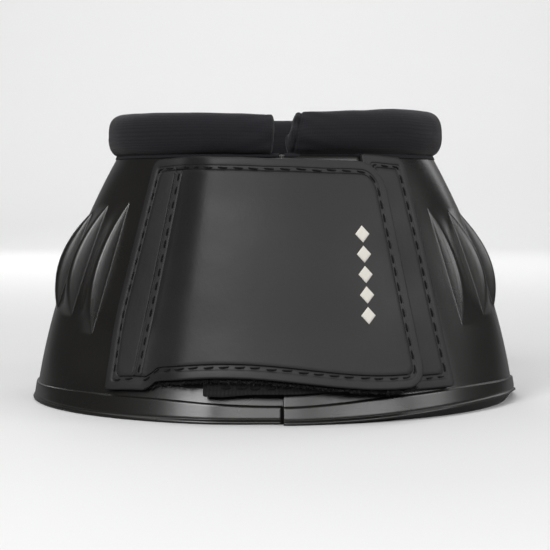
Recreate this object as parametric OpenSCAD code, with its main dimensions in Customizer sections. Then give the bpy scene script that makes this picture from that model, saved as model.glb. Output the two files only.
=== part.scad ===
/* [Shell] */
// Half width of the shell at the hem
hem_half_w = 93.7; // [88:0.1:99]
// Half width of the shell under the collar
top_half_w = 61.7; // [58:0.1:66]
// Height of the shell
shell_h = 93; // [88:1:100]
// Depth of the boot as a share of its width
depth_share = 0.9; // [0.84:0.01:1]
// How far the sides and back swell outward at mid height
swell = 4.8; // [2:0.2:6]
// Thickness of the rubber wall
wall = 3.4; // [3:0.1:4]
// Height of the raised band round the hem
hem_band_h = 7; // [5:0.5:9]
// How far the hem band stands out
hem_band_t = 0.8; // [0.5:0.1:1.2]

/* [Ribs] */
// Ribs on each side of the shell
rib_count = 9; // [6:1:9]
// How far a rib stands out from the shell
rib_rise = 4.6; // [3:0.2:5]
// Angle from the front to the first rib on the left
rib_start_left = 52.4; // [52:0.2:56]
// Angle from the front to the first rib on the right
rib_start_right = 55.2; // [53:0.2:57]
// Angle between one rib and the next
rib_pitch = 11.1; // [10.6:0.1:11.4]

/* [Collar] */
// Height of the collar top above the floor at the sides
collar_top = 110; // [107:1:114]
// How much lower the collar is at the front split
collar_dip = 2.6; // [0:0.2:4]
// Half width of the ring the collar is centred on
collar_half_w = 59.2; // [56:0.1:62]
// Radial thickness of the padded collar
collar_t = 12; // [10:0.5:13]
// Thickness of the stretch cover
cover_t = 1.6; // [1.2:0.1:2]

/* [Closure] */
// Thickness of the outer flap and of the two sewn strips
strap_t = 2.3; // [1.8:0.1:2.4]
// Angle of the flap's bend line, left of the front
flap_bend = 31.2; // [30:0.2:32]
// Angle of the flap's free edge, right of the front
flap_edge = 34; // [32.5:0.5:35]
// Radius of the flap's upper corner
flap_corner = 9.5; // [5:0.5:11]
// Angle of the tongue's bend line, right of the front
tongue_bend = 28.8; // [28.4:0.2:29.2]
// Angle of the tongue's free end, left of the front
tongue_end = 15; // [12:0.5:15]
// Distance from one stitch to the next
stitch_pitch = 5.6; // [5:0.1:6.5]
// Diameter of the sewing thread
thread_d = 0.9; // [0.7:0.1:1]

/* [Hidden] */

// Angles are measured round the boot from the front, to the right positive.
// Offsets are measured outward from the plain cone of the shell.
back_gap = 0.3;
lap_edge = 1.8;
lap_end = 17;
lap_drop = 2.1;
lap_t = 2.4;
lap_gap = 0.5;
lap_rise = 0.8;
air = 0.15;
layer_gap = 0.4;
tape_t = 0.8;
band_t = 1;
tape_seat = 0.2;
band_o = 2.7;
loop_o = band_o + band_t + tape_seat;
hook_o = loop_o + tape_t + layer_gap;
flap_o = hook_o + tape_t + tape_seat + 0.1;
bend_gap = 0.6;
anchor_lo = 10;
anchor_hi = 91.2;
tongue_lo = 10.4;
tongue_hi = 86;
rib_profile = [[-0.5, 0], [0, 0], [0.9, 0.5], [1.9, 1], [3.4, 0.86], [5.8, 0.42], [8.6, 0]];
hem_rows = [0, 0.5, 1.4, 1.8, hem_band_h - 0.4, hem_band_h];
wall_rows = 13;
stitch_share = 0.62;
collar_split_left = -0.3;
collar_split_right = 4.4;
collar_steps = 34;
collar_sides = 16;
core_steps = 20;
core_sides = 12;
core_inset = cover_t + 0.3;
seam_steps = 34;
seam_lo = shell_h - 1.3;
seam_hi = shell_h + 0.2;
seam_t = 0.8;
patch_lo = 12;
patch_hi = 85;
patch_t = 1;
tongue_flat_end = 18.6;
tongue_root_o = 0.5;
strip_corner = 3;
flap_anchor_w = 12.2;
tongue_anchor_w = 17.6;
flap_stitch_inset = 4.2;
flap_stitch_start = -17;
mark_tall = 6;
mark_wide = 1.8;
mark_mid = 22;
mark_low = 37;
mark_step = 7;
// Moves the boot back so that the origin is midway between its front and back
centre_shift = 1.2;

rubber = [0.13, 0.125, 0.12];
strap = [0.22, 0.215, 0.215];
lycra = [0.11, 0.11, 0.13];
foam = [0.2, 0.2, 0.2];
tape = [0.06, 0.06, 0.065];
webbing = [0.1, 0.1, 0.11];
thread_black = [0.16, 0.16, 0.17];
mark_white = [0.86, 0.85, 0.8];

function clip(t) = min(1, max(0, t));
function ease(t) = let (c = clip(t)) c * c * (3 - 2 * c);
function mix(a, b, t) = a + (b - a) * t;
function steps(a, b, n) = [for (i = [0:n]) mix(a, b, i / n)];
function outward(u) = let (n = [depth_share * sin(u), -cos(u)]) n / norm(n);
function ring(u, half_w, o, z) =
  let (n = outward(u))
  [half_w * sin(u) + o * n[0], centre_shift - depth_share * half_w * cos(u) + o * n[1], z];
function cone_half_w(z) = mix(hem_half_w, top_half_w, z / shell_h);
function swell_at(u, z) =
  let (t = clip(z / shell_h))
  4 * swell * t * (1 - t) * ease((abs(u) - 48) / 27);
function at(u, z, o) = ring(u, cone_half_w(z), o + swell_at(u, z), z);
// Width of one degree of the front surface, in mm
function degree_w(z) = cone_half_w(z) * PI / 180;

// Ribs: a straight crease on the front side and an arched ridge behind it
function rib_lo(k) = [26, 31, 34, 36][min(k, 3)];
function rib_hi(k) = [77, 75, 72.5, 71][min(k, 3)];
function rib_arch(k, z) =
  let (mid = (rib_lo(k) + rib_hi(k)) / 2, half = (rib_hi(k) - rib_lo(k)) / 2)
  pow(max(0, 1 - pow((z - mid) / half, 2)), 0.75);
function rib_share(v) = lookup(v, rib_profile);
function rib_at(u, z, start) =
  let (v = abs(u) - start, k = floor((v + 0.6) / rib_pitch))
  (k < 0 || k >= rib_count) ? 0 : rib_rise * rib_arch(k, z) * rib_share(v - k * rib_pitch);
function rib_columns(start) =
  [for (k = [0:rib_count - 1]) for (p = rib_profile) start + k * rib_pitch + p[0]];

function hem_at(z) =
  z < 0.3 ? 0.4 : z < 1.6 ? hem_band_t + 0.5 : z < hem_band_h - 0.2 ? hem_band_t : 0;
function wall_heights() =
  concat(hem_rows, [for (z = steps(hem_band_h, shell_h, wall_rows)) if (z > hem_band_h) z]);

function left_outer(u, z) =
  rib_at(u, z, rib_start_left) - lap_drop * ease((u + 16) / 16) + hem_at(z) * (u < 1.2 ? 1 : 0);
function left_inner(u) = -wall - (lap_drop + lap_t - wall) * ease((u + 16) / 16);
function right_outer(u, z) =
  rib_at(u, z, rib_start_right) + lap_o(u) + hem_at(z);
function lap_o(u) = lap_rise * (1 - ease((u - lap_edge) / 12));
function right_inner(u) = mix(lap_gap - lap_drop, -wall, ease((u - lap_end - 1) / 8));

// Faces of a slab given as two grids of n by m points, outer grid first
function slab_faces(n, m) =
  let (back = n * m)
  concat(
    [for (i = [0:n - 2]) for (j = [0:m - 2]) let (a = i * m + j)
      for (f = [[a, a + m, a + m + 1], [a, a + m + 1, a + 1]]) [f[2], f[1], f[0]]],
    [for (i = [0:n - 2]) for (j = [0:m - 2]) let (a = back + i * m + j)
      for (f = [[a, a + m, a + m + 1], [a, a + m + 1, a + 1]]) f],
    [for (i = [0:n - 2]) for (j = [0, m - 1]) let (a = i * m + j, b = a + m)
      for (f = [[a, b, b + back], [a, b + back, a + back]]) j == 0 ? f : [f[2], f[1], f[0]]],
    [for (j = [0:m - 2]) for (i = [0, n - 1]) let (a = i * m + j, b = a + 1)
      for (f = [[a, b, b + back], [a, b + back, a + back]]) i == 0 ? [f[2], f[1], f[0]] : f]
  );

// A curved sheet: angles, heights(u), and its inner and outer offsets
module sheet(angles, heights, inner, outer) {
  m = len(heights(angles[0]));
  skin = function (offset_at) [for (u = angles) for (z = heights(u)) at(u, z, offset_at(u, z))];
  polyhedron(points = concat(skin(outer), skin(inner)), faces = slab_faces(len(angles), m));
}

// One thread from (u1, z1) to (u2, z2) at an offset
module thread(u1, z1, u2, z2, o) {
  a = at(u1, z1, o);
  b = at(u2, z2, o);
  d = b - a;
  translate(a)
    rotate([0, acos(d[2] / norm(d)), atan2(d[1], d[0])])
      cylinder(h = norm(d), d = thread_d, $fn = 16);
}

// A row of stitches between two points, at the offset given by offset_at(u)
module stitch_row(u1, z1, u2, z2, offset_at) {
  long = norm(at(u2, z2, 0) - at(u1, z1, 0));
  count = max(1, round(long / stitch_pitch));
  half = stitch_share / count / 2;
  for (i = [0:count - 1]) {
    t = (i + 0.5) / count;
    um = mix(u1, u2, t);
    thread(mix(u1, u2, t - half), mix(z1, z2, t - half),
           mix(u1, u2, t + half), mix(z1, z2, t + half), offset_at(um));
  }
}

module stitch_box(u1, u2, z1, z2, offset_at, slant) {
  stitch_row(u1, z1, u1 + slant, z2, offset_at);
  stitch_row(u2, z1, u2 + slant, z2, offset_at);
  stitch_row(u1 + 1.6, z1 - 0.2, u2 - 1.6, z1 - 0.2, offset_at);
  stitch_row(u1 + slant + 1.6, z2 + 0.2, u2 + slant - 1.6, z2 + 0.2, offset_at);
}

// Collar section: a rounded oblong in the radial plane
function round_off(c) = sign(c) * pow(abs(c), 0.85);
function collar_bottom() = shell_h + 0.5;
function collar_hi(u) = collar_top - collar_dip * (1 - ease(abs(u) / 50));
function section(u, inset, sides) =
  let (
    hi = collar_hi(u) - inset,
    lo = collar_bottom() + inset,
    half_t = collar_t / 2 - inset
  )
  [for (i = [0:sides - 1]) let (a = 360 * i / sides)
    ring(u, collar_half_w, half_t * round_off(cos(a)), (hi + lo) / 2 + (hi - lo) / 2 * round_off(sin(a)))];
function tube_faces(n, m, flip) =
  [for (i = [0:n - 2]) for (j = [0:m - 1])
    let (a = i * m + j, b = i * m + (j + 1) % m)
    for (f = [[a, a + m, b + m], [a, b + m, b]]) flip ? f : [f[2], f[1], f[0]]];
function shift_faces(faces, by) = [for (f = faces) [for (p = f) p + by]];

module collar_tube(angles, sides) {
  n = len(angles);
  outer = [for (u = angles) each section(u, 0, sides)];
  inner = [for (u = angles) each section(u, cover_t, sides)];
  back = n * sides;
  ends = [for (i = [0, n - 1]) for (j = [0:sides - 1])
    let (a = i * sides + j, b = i * sides + (j + 1) % sides)
    for (f = [[a, b, b + back], [a, b + back, a + back]]) i == 0 ? [f[2], f[1], f[0]] : f];
  polyhedron(
    points = concat(outer, inner),
    faces = concat(tube_faces(n, sides, false), shift_faces(tube_faces(n, sides, true), back), ends)
  );
}

module collar_bar(angles, inset, sides) {
  n = len(angles);
  polyhedron(
    points = [for (u = angles) each section(u, inset, sides)],
    faces = concat(
      tube_faces(n, sides, false),
      [[for (j = [sides - 1:-1:0]) j], [for (j = [0:sides - 1]) (n - 1) * sides + j]]
    )
  );
}

module collar_cap(rings, split) {
  polyhedron(
    points = [for (r = rings) each section(split + r[0], r[1], collar_sides)],
    faces = concat(
      tube_faces(len(rings), collar_sides, false),
      [[for (j = [collar_sides - 1:-1:0]) j],
       [for (j = [0:collar_sides - 1]) (len(rings) - 1) * collar_sides + j]]
    )
  );
}

// Flap outline
function flap_top(u) =
  let (
    plain = mix(91.6, 90.4, clip((u + flap_bend) / 60)),
    past = max(0, (u - flap_edge) * degree_w(plain) + flap_corner)
  )
  plain - flap_corner + sqrt(max(0, pow(flap_corner, 2) - pow(past, 2)));
function flap_bottom(u) =
  let (
    bow = 11.7 + 2.25 * (1 + cos(min(180, 180 * abs(u + 9) / 35))),
    small = flap_corner * 0.6,
    past = max(0, (u - flap_edge) * degree_w(bow) + small)
  )
  mix(10.4, bow, ease((u + flap_bend) / 3.4)) + small - sqrt(max(0, pow(small, 2) - pow(past, 2)));
function flap_lift(u) =
  mix(mix(air + 0.2, flap_o, ease((u + flap_bend - 0.6) / 13)), flap_o - 1.4, ease((u - 24) / 10));
function flap_columns(a, b) =
  concat(steps(a, -13, 14), steps(-10, 20, 9), steps(22, b - 4, 3), steps(b - 3, b, 6));

// Tongue lies on the lap, then drops to its bend line on the right
function tongue_lift(u) = mix(band_o, tongue_root_o, ease((u - tongue_flat_end) / 9));

// Half of the shell, left: its front end dips and runs under the right half
module shell_left() {
  ribs = rib_columns(rib_start_left);
  angles = concat(
    [-180 + back_gap, -172, -164, -156],
    [for (i = [len(ribs) - 1:-1:0]) -ribs[i]],
    steps(-48, -18, 5), steps(-15, 0, 5), [1.1, 1.4, 7, lap_end]
  );
  color(rubber)
    sheet(angles, function (u) wall_heights(),
          function (u, z) left_inner(u), function (u, z) left_outer(u, z));
}

module shell_right() {
  angles = concat(
    [lap_edge, 4, 7, 10, 14], steps(lap_end + 1, 49, 8),
    rib_columns(rib_start_right), [158, 165, 172, 180 - back_gap]
  );
  color(rubber)
    sheet(angles, function (u) wall_heights(),
          function (u, z) right_inner(u), function (u, z) right_outer(u, z));
}

module collar_cover_left() {
  color(lycra)
    collar_tube(steps(-180 + back_gap, collar_split_left - 1.6, collar_steps), collar_sides);
}

module collar_cover_right() {
  color(lycra)
    collar_tube(steps(collar_split_right + 1.8, 180 - back_gap, collar_steps), collar_sides);
}

module collar_core_left() {
  color(foam)
    collar_bar(steps(-180 + 2 * back_gap, collar_split_left - 2.2, core_steps), core_inset, core_sides);
}

module collar_core_right() {
  color(foam)
    collar_bar(steps(collar_split_right + 2.4, 180 - 2 * back_gap, core_steps), core_inset, core_sides);
}

module collar_end_left() {
  color(lycra)
    collar_cap([[-1.4, 0.6], [-1, 0.1], [-0.4, 0.5], [0, 2]], collar_split_left);
}

module collar_end_right() {
  color(lycra)
    collar_cap([[0, 2.2], [0.5, 0.6], [1.1, 0.1], [1.6, 0.6]], collar_split_right);
}

module collar_seam_left() {
  color(lycra)
    sheet(steps(-180 + back_gap, collar_split_left - 2, seam_steps), function (u) [seam_lo, seam_hi],
          function (u, z) air, function (u, z) air + seam_t);
}

module collar_seam_right() {
  color(lycra)
    sheet(steps(collar_split_right, 180 - back_gap, seam_steps), function (u) [seam_lo, seam_hi],
          function (u, z) lap_o(u) + air, function (u, z) lap_o(u) + air + seam_t);
}

module flap_anchor() {
  edge = -flap_bend - flap_anchor_w;
  top = function (u)
    let (past = max(0, strip_corner - (u - edge) * degree_w(anchor_hi)))
    anchor_hi - strip_corner + sqrt(max(0, pow(strip_corner, 2) - pow(past, 2)));
  color(strap)
    sheet(concat(steps(edge, edge + 2.8, 5), steps(edge + 4.5, -flap_bend - bend_gap, 4)),
          function (u) steps(anchor_lo, top(u), 2),
          function (u, z) air, function (u, z) air + strap_t);
}

module flap_anchor_stitching() {
  color(thread_black)
    stitch_box(-flap_bend - 7, -flap_bend - 2, anchor_lo + 4, anchor_hi - 5,
               function (u) air + strap_t + thread_d / 2 + 0.1, 0.8);
}

module closure_flap() {
  color(strap)
    sheet(flap_columns(-flap_bend + bend_gap, flap_edge), function (u) steps(flap_bottom(u), flap_top(u), 2),
          function (u, z) flap_lift(u), function (u, z) flap_lift(u) + strap_t);
}

module flap_stitching() {
  over = function (u) flap_lift(u) + strap_t + thread_d / 2 + 0.45;
  right = flap_edge - 5;
  turn = right - 6;
  inset = flap_stitch_inset;
  color(thread_black) {
    for (u = steps(flap_stitch_start, turn, 9)) {
      thread(u - 1.1, flap_bottom(u - 1.1) + inset, u + 1.1, flap_bottom(u + 1.1) + inset, over(u));
      thread(u - 1.3, flap_top(u - 1.3) - inset, u + 1.3, flap_top(u + 1.3) - inset, over(u));
    }
    stitch_row(right, 20, right, 78, over);
    thread(right - 0.8, 81.4, right - 2.4, 83.6, over(right));
  }
}

// Hook tape under the flap; its fringe shows below the flap's lower edge
module flap_hook_tape() {
  under = function (u) flap_lift(u) - tape_seat - 0.1;
  color(tape)
    sheet(concat(steps(-26, -13, 13), steps(-10, 20, 9), steps(22.5, 31, 5)),
          function (u) [flap_bottom(u) - 1.8, flap_top(u) - 3],
          function (u, z) under(u) - tape_t, function (u, z) under(u));
}

module flap_mark() {
  color(mark_white)
    for (i = [0:4])
      sheet([mark_mid - mark_wide, mark_mid, mark_mid + mark_wide],
            function (u)
              let (half = abs(u - mark_mid) > 1 ? 0.2 : mark_tall / 2, z = mark_low + mark_step * i)
              [z - half, z + half],
            function (u, z) flap_lift(u) + strap_t + 0.1, function (u, z) flap_lift(u) + strap_t + 0.5);
}

module tongue_anchor() {
  edge = tongue_bend + tongue_anchor_w;
  top = function (u)
    let (past = max(0, strip_corner - (edge - u) * degree_w(anchor_hi)))
    anchor_hi - strip_corner + sqrt(max(0, pow(strip_corner, 2) - pow(past, 2)));
  color(strap)
    sheet(concat(steps(tongue_bend + bend_gap, edge - 4.5, 5), steps(edge - 2.8, edge, 5)),
          function (u) steps(anchor_lo, top(u), 2),
          function (u, z) air, function (u, z) air + strap_t);
}

module tongue_anchor_stitching() {
  color(thread_black)
    stitch_box(tongue_bend + 7.4, tongue_bend + 13.2, anchor_lo + 4, anchor_hi - 3,
               function (u) air + strap_t + thread_d / 2 + 0.1, -0.6);
}

module tongue_band() {
  color(webbing)
    sheet(concat(steps(-tongue_end, tongue_flat_end, 14),
                 steps(tongue_flat_end + 1.2, tongue_bend - bend_gap, 8)),
          function (u) steps(tongue_lo, tongue_hi, 2),
          function (u, z) tongue_lift(u), function (u, z) tongue_lift(u) + band_t);
}

module tongue_loop_tape() {
  color(tape)
    sheet(steps(3 - tongue_end, tongue_flat_end - 1, 13), function (u) [tongue_lo + 4.4, tongue_hi - 4.4],
          function (u, z) loop_o, function (u, z) loop_o + tape_t);
}

module tongue_hook_tape() {
  color(tape)
    sheet(steps(1.4 - tongue_end, -5, 4), function (u) [tongue_lo + 6, tongue_hi - 6],
          function (u, z) band_o - tape_seat - tape_t, function (u, z) band_o - tape_seat);
}

module tongue_stitching() {
  over = function (u) band_o + band_t + thread_d / 2 + 0.1;
  color(thread_black) {
    for (u = steps(4 - tongue_end, tongue_flat_end - 2, 8)) {
      thread(u - 1.1, tongue_lo + 2.2, u + 1.1, tongue_lo + 2.2, over(u));
      thread(u - 1.4, tongue_hi - 2.2, u + 1.4, tongue_hi - 2.2, over(u));
    }
    stitch_row(1.5 - tongue_end, tongue_lo + 4, 1.5 - tongue_end, tongue_hi - 4, over);
  }
}

module loop_patch() {
  color(tape)
    sheet(steps(-22, -3, 10), function (u) [patch_lo, patch_hi],
          function (u, z) left_outer(u, z) + tape_seat,
          function (u, z) left_outer(u, z) + tape_seat + patch_t);
}

module loop_patch_stitching() {
  over = function (u) left_outer(u, patch_lo) + tape_seat + patch_t + thread_d / 2 + 0.35;
  color(thread_black) {
    stitch_row(-20.8, patch_lo + 2, -20.8, patch_hi - 2, over);
    stitch_row(-4.4, patch_lo + 2, -4.4, patch_hi - 2, over);
    for (u = [-17.5, -14, -10.5, -7.5]) {
      thread(u - 1, patch_lo + 1.4, u + 1, patch_lo + 1.4, over(u));
      thread(u - 1.2, patch_hi - 1.4, u + 1.2, patch_hi - 1.4, over(u));
    }
  }
}

shell_left();
shell_right();
collar_cover_left();
collar_cover_right();
collar_core_left();
collar_core_right();
collar_end_left();
collar_end_right();
collar_seam_left();
collar_seam_right();
flap_anchor();
flap_anchor_stitching();
closure_flap();
flap_stitching();
flap_hook_tape();
flap_mark();
tongue_anchor();
tongue_anchor_stitching();
tongue_band();
tongue_loop_tape();
tongue_hook_tape();
tongue_stitching();
loop_patch();
loop_patch_stitching();
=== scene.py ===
"""Bell boot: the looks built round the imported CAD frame. Sizes are in millimetres until a mesh is made."""

import math

import bpy
import numpy as np
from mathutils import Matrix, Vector


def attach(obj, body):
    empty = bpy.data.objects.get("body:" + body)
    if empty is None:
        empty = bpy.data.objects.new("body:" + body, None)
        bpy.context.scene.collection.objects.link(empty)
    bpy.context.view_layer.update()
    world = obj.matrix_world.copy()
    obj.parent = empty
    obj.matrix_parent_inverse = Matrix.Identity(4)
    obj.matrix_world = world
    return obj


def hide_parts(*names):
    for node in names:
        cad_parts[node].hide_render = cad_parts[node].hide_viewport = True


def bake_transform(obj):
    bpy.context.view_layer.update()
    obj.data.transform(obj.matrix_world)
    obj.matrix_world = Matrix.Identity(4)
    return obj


bl_info = {
    "name": "Bell boot",
    "version": (1, 0, 0),
    "blender": (4, 5, 0),
    "location": "View3D > Sidebar > Bell boot",
    "description": "Builds a rubber over-reach boot with a padded collar and a hook-and-loop flap",
    "category": "Object",
}

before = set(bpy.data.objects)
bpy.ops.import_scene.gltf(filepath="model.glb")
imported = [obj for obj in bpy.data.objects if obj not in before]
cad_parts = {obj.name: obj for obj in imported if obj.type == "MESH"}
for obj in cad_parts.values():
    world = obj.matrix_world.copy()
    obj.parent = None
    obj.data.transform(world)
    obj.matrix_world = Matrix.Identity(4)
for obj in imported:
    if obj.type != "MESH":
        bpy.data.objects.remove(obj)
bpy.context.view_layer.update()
METRE = 1000.0
MM_PER_DEGREE = 1.35
COLLAR_MM_PER_DEGREE = 1.04
FLAT_FRONT = 48
TOP_ROUND = 92.5
CENTRE_SHIFT = 1.2
FLAP_BEND = -31.2
TONGUE_BEND = 28.8
LAP_EDGE = 1.8
LAP_END = 17.0
SPLIT_BACK = 148.0
RIBS = 9
RIB_SPAN = 9.4
STRAP_T = 2.3


# ---------------- shape of the boot


def mm(length):
    """A property in metres as millimetres."""
    return length * METRE


def ease(t):
    """Smoothstep: 3t^2 - 2t^3 of t held between 0 and 1."""
    c = np.clip(t, 0, 1)
    return c * c * (3 - 2 * c)


def mix(a, b, t):
    """Straight blend from a at t = 0 to b at t = 1."""
    return a + (b - a) * t


def knots(x, points):
    """Piecewise smooth curve through (x, y) points, eased between neighbours."""
    xs, ys = np.array(points, float).T
    k = np.clip(np.searchsorted(xs, x, side="right") - 1, 0, len(xs) - 2)
    return mix(ys[k], ys[k + 1], ease((x - xs[k]) / (xs[k + 1] - xs[k])))


def ring(b, u, half_w, o, z):
    """Point on an ellipse of half width half_w at angle u from the front, moved o along its normal, at height z."""
    a = np.radians(u)
    nx, ny = b.depth_share * np.sin(a), -np.cos(a)
    n = np.hypot(nx, ny)
    x = half_w * np.sin(a) + o * nx / n
    y = CENTRE_SHIFT - b.depth_share * half_w * np.cos(a) + o * ny / n
    return np.stack(np.broadcast_arrays(x, y, z + 0 * x), axis=-1)


def cone_half_w(b, z):
    """Half width of the plain cone at height z."""
    return mix(mm(b.hem_half_width), mm(b.top_half_width), z / mm(b.shell_height))


def at(b, u, z, o):
    """Point at offset o from the shell: the cone, swollen at the sides and back by a parabola in height."""
    t = np.clip(z / mm(b.shell_height), 0, 1)
    out = 4 * mm(b.swell) * t * (1 - t) * ease((np.abs(u) - FLAT_FRONT) / 27)
    return ring(b, u, cone_half_w(b, z), o + out, z)


def degree_w(b, z):
    """Width of one degree of the shell's front at height z."""
    return cone_half_w(b, z) * math.pi / 180


def hash_wave(u, v, seed, scale):
    """Smooth seeded ripple: a sum of six sines of random direction, from -1 to 1."""
    rng = np.random.default_rng(seed)
    total = 0
    for _ in range(6):
        ku, kv = rng.normal(size=2) * scale
        total = total + np.sin(ku * u + kv * v + rng.uniform(0, 6.28))
    return total / 6


RIBS_RIGHT = [(31.0, 73.6, 0.62), (33.5, 72.6, 0.84), (35.5, 71.6, 1.0), (37.0, 71.0, 1.0)]
RIBS_LEFT = [(27.4, 76.0, 0.95), (33.3, 75.0, 1.0), (35.2, 72.4, 1.0), (37.0, 71.0, 1.0)]


def rib_relief(b, u, z, start, ends):
    """Ribs: from a straight crease the face rises over v1 degrees to a round ridge, then falls away to RIB_SPAN.
    The ridge height and v1 both follow an arch in z that is zero at the rib's two ends. ends holds the heights of the
    two ends and the share of the full height, for each of the first three ribs and for all the others."""
    v = np.abs(u) - start
    k = np.clip(np.floor((v + 0.3) / math.degrees(b.rib_pitch)), 0, RIBS - 1)
    v = v - k * math.degrees(b.rib_pitch)
    lo, hi, tall = np.array(ends).T[:, np.minimum(k, 3).astype(int)]
    arch = np.clip(1 - ((z - (lo + hi) / 2) / ((hi - lo) / 2)) ** 2, 0, 1)
    v1 = 0.25 + 2.0 * arch
    rise = ease(np.clip(v / v1, 0, 1) ** 0.56)
    fall = 1 - ease((v - v1) / (RIB_SPAN - v1))
    return mm(b.rib_rise) * tall * arch * np.where(v < 0, 0, np.minimum(rise, fall) ** 0.92)


def rib_columns(b, start):
    """Angles of the shell's columns across all the ribs of one side, closest together at each crease."""
    steps = [-0.5, -0.15, 0, 0.08, 0.16, 0.24, 0.32, 0.5, 0.75, 1.1, 1.45, 1.8, 2.1, 2.4, 2.6, 2.8, 3.1, 3.6, 4.3,
             5.2, 6.2, 7.2, 8.3, RIB_SPAN]
    return np.concatenate([start + k * math.degrees(b.rib_pitch) + np.array(steps) for k in range(RIBS)])


def band_top(u):
    """Upper edge of the hem band: lowest at the front, highest a third of the way to the sides."""
    return 6.0 + 1.7 * ease(np.abs(u) / 30) - 1.0 * ease((np.abs(u) - 42) / 40)


def lap_dip(u):
    """How far the left half sinks where it runs under the right one."""
    return 2.1 * ease((u + 16) / 16)


def lap_rise(u):
    """How far the right half stands out where it laps over the left one."""
    return 0.8 * (1 - ease((u - LAP_EDGE) / 12))


# ---------------- mesh helpers


def make(name, co, faces, uv=None, marks=None):
    """A mesh object from points in millimetres, an array or list of faces by vertex number, a UV per vertex and
    named values per vertex."""
    mesh = bpy.data.meshes.new(name)
    faces = faces.tolist() if isinstance(faces, np.ndarray) else faces
    mesh.from_pydata((np.asarray(co, float).reshape(-1, 3) / METRE).tolist(), [], faces)
    mesh.polygons.foreach_set("use_smooth", np.full(len(mesh.polygons), True))
    corners = np.empty(len(mesh.loops), int)
    mesh.loops.foreach_get("vertex_index", corners)
    if uv is not None:
        layer = mesh.uv_layers.new(name="UVMap")
        layer.data.foreach_set("uv", np.asarray(uv, np.float32).reshape(-1, 2)[corners].ravel())
    for key, values in (marks or {}).items():
        attribute = mesh.attributes.new(key, "FLOAT", "POINT")
        attribute.data.foreach_set("value", np.asarray(values, np.float32).ravel())
    mesh.update()
    obj = bpy.data.objects.new(name, mesh)
    bpy.context.scene.collection.objects.link(obj)
    return obj


def grid_faces(n, m, wrap=False):
    """Quads of an n by m grid of vertices; with wrap the second direction closes on itself."""
    i, j = np.meshgrid(np.arange(n - 1), np.arange(m if wrap else m - 1), indexing="ij")
    a, c = i * m + j, i * m + (j + 1) % m
    return np.stack([a, a + m, c + m, c], -1).reshape(-1, 4)


def surface_normals(p):
    """Unit normals of a grid of points closed in its second direction, by central differences."""
    du = np.gradient(p, axis=0)
    dv = np.roll(p, -1, 1) - np.roll(p, 1, 1)
    n = np.cross(du, dv)
    return n / np.maximum(np.linalg.norm(n, axis=-1, keepdims=True), 1e-12)


def outline(w, h, radii, sx, sy):
    """Closed loop round a w by h box, sides sampled at the shares sx and sy, each corner bent into a quarter circle.
    radii are for the corners bottom left, bottom right, top right, top left. Returned as shares of the half sizes."""
    x, y = sx * w / 2, sy * h / 2
    one_x, one_y = np.ones(len(sx) - 1), np.ones(len(sy) - 1)
    px = np.concatenate([x[:-1], one_y * w / 2, x[:0:-1], -one_y * w / 2])
    py = np.concatenate([-one_x * h / 2, y[:-1], one_x * h / 2, y[:0:-1]])
    for (cx, cy), r in zip(((-1, -1), (1, -1), (1, 1), (-1, 1)), radii):
        dx, dy = w / 2 - px * cx, h / 2 - py * cy
        near = (dx < r) & (dy < r)
        turn = math.pi / 4 * (1 + (dy - dx) / r)
        px = np.where(near, cx * (w / 2 - r + r * np.sin(turn)), px)
        py = np.where(near, cy * (h / 2 - r + r * np.cos(turn)), py)
    return np.stack([px / (w / 2), py / (h / 2)], -1)


def fill(loop, sx, sy):
    """Coons patch: grid of points inside a loop, blended from its four sides."""
    n, m = len(sx) - 1, len(sy) - 1
    closed = np.vstack([loop, loop[:1]])
    bottom, right = closed[: n + 1], closed[n : n + m + 1]
    top, left = closed[n + m : 2 * n + m + 1][::-1], closed[2 * n + m :][::-1]
    s, t = ((sx + 1) / 2)[:, None, None], ((sy + 1) / 2)[None, :, None]
    sides = (1 - t) * bottom[:, None] + t * top[:, None] + (1 - s) * left[None] + s * right[None]
    flat = (1 - s) * ((1 - t) * bottom[0] + t * top[0]) + s * ((1 - t) * bottom[-1] + t * top[-1])
    return sides - flat


class Patch:
    """A four-sided patch of the boot's front: angle limits left(z), right(z) and height limits low(u), high(u)."""

    def __init__(self, b, left, right, low, high, radii):
        self.b, self.left, self.right, self.low, self.high, self.radii = b, left, right, low, high, radii
        mid_u, mid_z = (left(50.0) + right(50.0)) / 2, (low(0.0) + high(0.0)) / 2
        self.w = (right(mid_z) - left(mid_z)) * degree_w(b, mid_z)
        self.h = high(mid_u) - low(mid_u)

    def place(self, share, inset):
        """Angles and heights of points given as shares of the patch shrunk by inset, by fixed point steps."""
        x, y = share[..., 0], share[..., 1]
        z = mix(15.0, 88.0, (y + 1) / 2)
        for _ in range(5):
            l, r = self.left(z), self.right(z)
            u = (l + r) / 2 + x * ((r - l) / 2 - inset / degree_w(self.b, z))
            lo, hi = self.low(u), self.high(u)
            z = (lo + hi) / 2 + y * ((hi - lo) / 2 - inset)
        return u, z

    def loop(self, inset, sx, sy):
        """The patch's outline at an inset, with inner corners kept from growing sharp."""
        inner = min(0.4 + 0.45 * max(inset - 1.5, 0), 2.4)
        radii = [max(r - inset, inner) for r in self.radii]
        return outline(self.w - 2 * inset, self.h - 2 * inset, radii, sx, sy)

    def along(self, inset):
        """Dense closed line at an inset, as angles and heights."""
        s = np.sin(np.linspace(-1, 1, 181) * math.pi / 2)
        return self.place(self.loop(inset, s, s), inset)


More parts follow.
